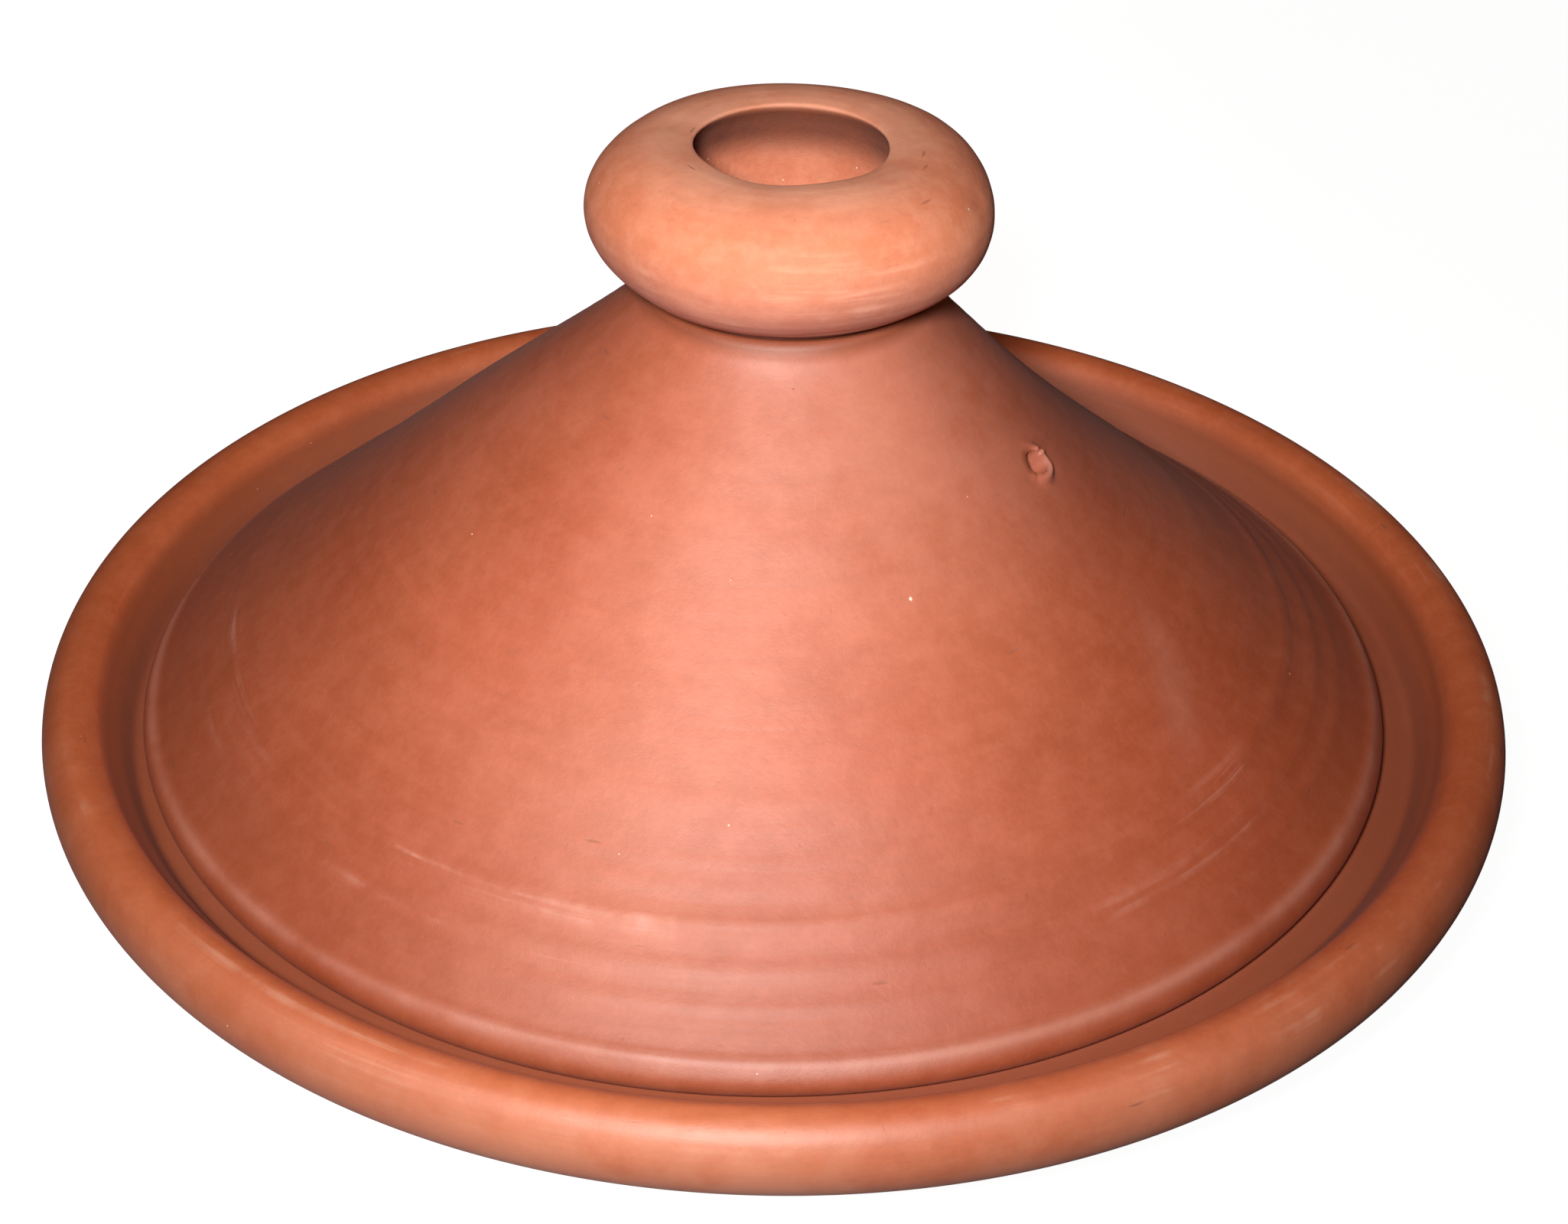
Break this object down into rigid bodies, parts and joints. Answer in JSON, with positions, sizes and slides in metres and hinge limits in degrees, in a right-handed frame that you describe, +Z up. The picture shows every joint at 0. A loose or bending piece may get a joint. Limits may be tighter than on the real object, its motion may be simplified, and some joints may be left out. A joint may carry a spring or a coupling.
{
  "type": "tagine pot",
  "caption": "Unglazed clay tagine: a shallow round dish with a rolled rim and a conical lid with a steam vent and a ring knob, which lifts off.",
  "frame": {"origin": "centre of the dish's foot, on the surface that the pot stands on", "axes": "+Z up through the lid's knob; -Y towards the viewer; the steam vent is at the front right, 22 degrees in front of +X"},
  "size_m": [0.32, 0.32, 0.173],
  "materials": {
    "dish_clay": "unglazed terracotta, slightly burnished, brownish orange",
    "lid_clay": "unglazed terracotta, matt, pinkish red, with faint throwing rings",
    "luting_clay": "unglazed clay, rough",
    "knob_clay": "unglazed terracotta, matt, pale orange"
  },
  "bodies": {
    "dish": {"base_dish": "dish_clay"},
    "lid": {"lid_cone": "lid_clay", "luting_ring": "luting_clay", "knob_ring": "knob_clay"}
  },
  "joints": [
    {"name": "lid_lift", "type": "slide", "parent": "dish", "child": "lid", "axis": [0, 0, 1], "range_m": [0, 0.2]}
  ]
}
